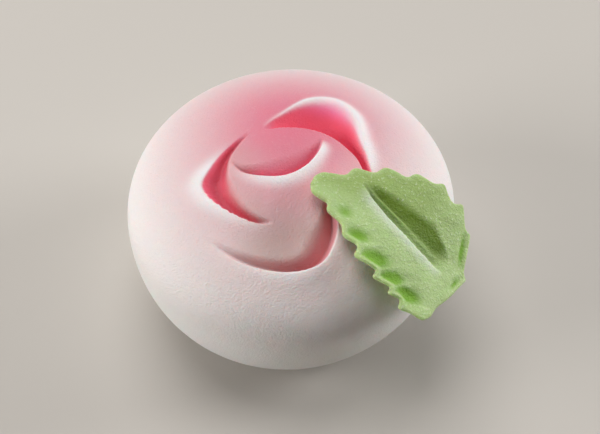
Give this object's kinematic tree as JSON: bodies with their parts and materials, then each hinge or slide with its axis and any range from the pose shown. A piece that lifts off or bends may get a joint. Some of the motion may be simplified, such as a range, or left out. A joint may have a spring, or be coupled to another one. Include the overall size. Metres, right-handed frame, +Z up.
{
  "type": "nerikiri",
  "caption": "Squat round sweet of soft bean paste, its domed top pressed into rose petals by curved folds, with a toothed green leaf laid over one shoulder.",
  "frame": {"origin": "middle of the flat underside, on the surface it rests on", "axes": "+Z up through the crown, -Y to the front, where the longest fold is, and +X to the right, where the leaf lies"},
  "size_m": [0.0491, 0.0484, 0.0278],
  "materials": {
    "paste": "soft satin, fine-grained bean paste, cream white blending into pink on the back and crown and deep rose inside the folds",
    "leaf_paste": "matt, fine-grained green bean paste"
  },
  "bodies": {
    "root": {"rose": "paste", "leaf": "leaf_paste"}
  },
  "joints": []
}
